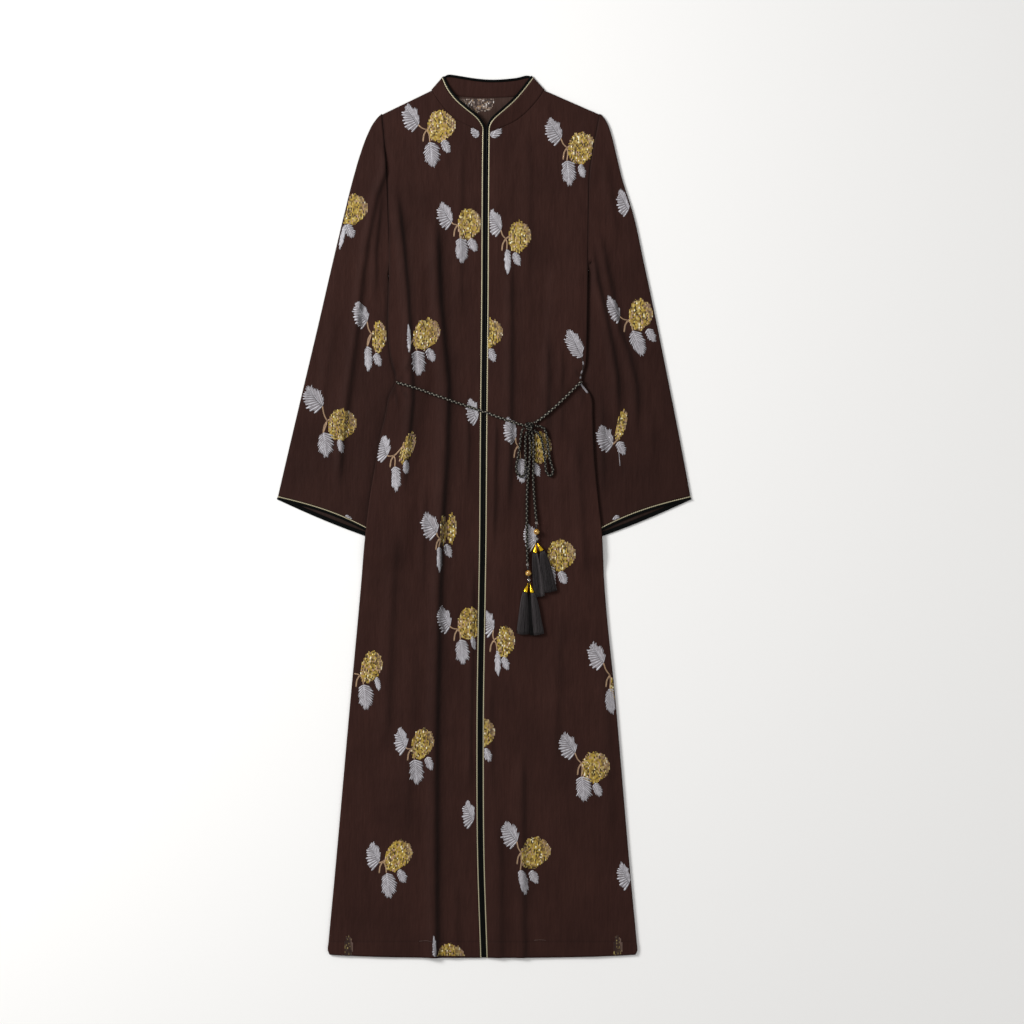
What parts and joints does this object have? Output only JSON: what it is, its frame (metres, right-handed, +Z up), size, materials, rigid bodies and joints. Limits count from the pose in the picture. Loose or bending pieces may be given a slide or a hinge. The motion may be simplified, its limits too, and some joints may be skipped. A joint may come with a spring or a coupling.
{
  "type": "abaya",
  "caption": "Long open-front abaya with stand collar, flared sleeves, gold piping beside black binding, woven flower sprays and a tied beaded cord with tassels, laid flat",
  "frame": {"origin": "centre of the garment's outline on the surface that it lies on", "axes": "+Z up from that surface, towards the garment's front; +Y from the hem to the collar; +X towards the wearer's left"},
  "size_m": [0.6636, 1.4127, 0.0129],
  "materials": {
    "brown_brocade": "dark brown light woven cloth with flower sprays brocaded in gold and silver-grey thread",
    "black_satin": "black satin bias binding",
    "gold_braid": "pale gold twisted metallic piping",
    "black_cord": "black braided cord with pale flecks",
    "clear_glass": "small clear glass bead",
    "amber_glass": "glossy marbled amber and gold bead",
    "yellow_metal": "bright polished yellow gold",
    "black_silk": "black silky tassel strands"
  },
  "bodies": {
    "root": {"back": "brown_brocade", "front_right": "brown_brocade", "front_left": "brown_brocade", "sleeve_right": "brown_brocade", "sleeve_left": "brown_brocade", "collar": "brown_brocade", "edge_binding": "black_satin", "cuff_binding_right": "black_satin", "cuff_binding_left": "black_satin", "edge_piping": "gold_braid", "cuff_piping_right": "gold_braid", "cuff_piping_left": "gold_braid", "waist_cord_right": "black_cord", "waist_cord_left": "black_cord", "bow_knot": "black_cord", "bow_loop_right": "black_cord", "bow_loop_left": "black_cord", "cord_end_right": "black_cord", "cord_end_left": "black_cord", "upper_bead_right": "clear_glass", "lower_bead_right": "clear_glass", "upper_bead_left": "clear_glass", "lower_bead_left": "clear_glass", "gold_bead_right": "amber_glass", "gold_bead_left": "amber_glass", "cap_right_outer": "yellow_metal", "cap_right_inner": "yellow_metal", "cap_left_outer": "yellow_metal", "cap_left_inner": "yellow_metal", "tassel_right_outer": "black_silk", "tassel_right_inner": "black_silk", "tassel_left_outer": "black_silk", "tassel_left_inner": "black_silk"}
  },
  "joints": []
}
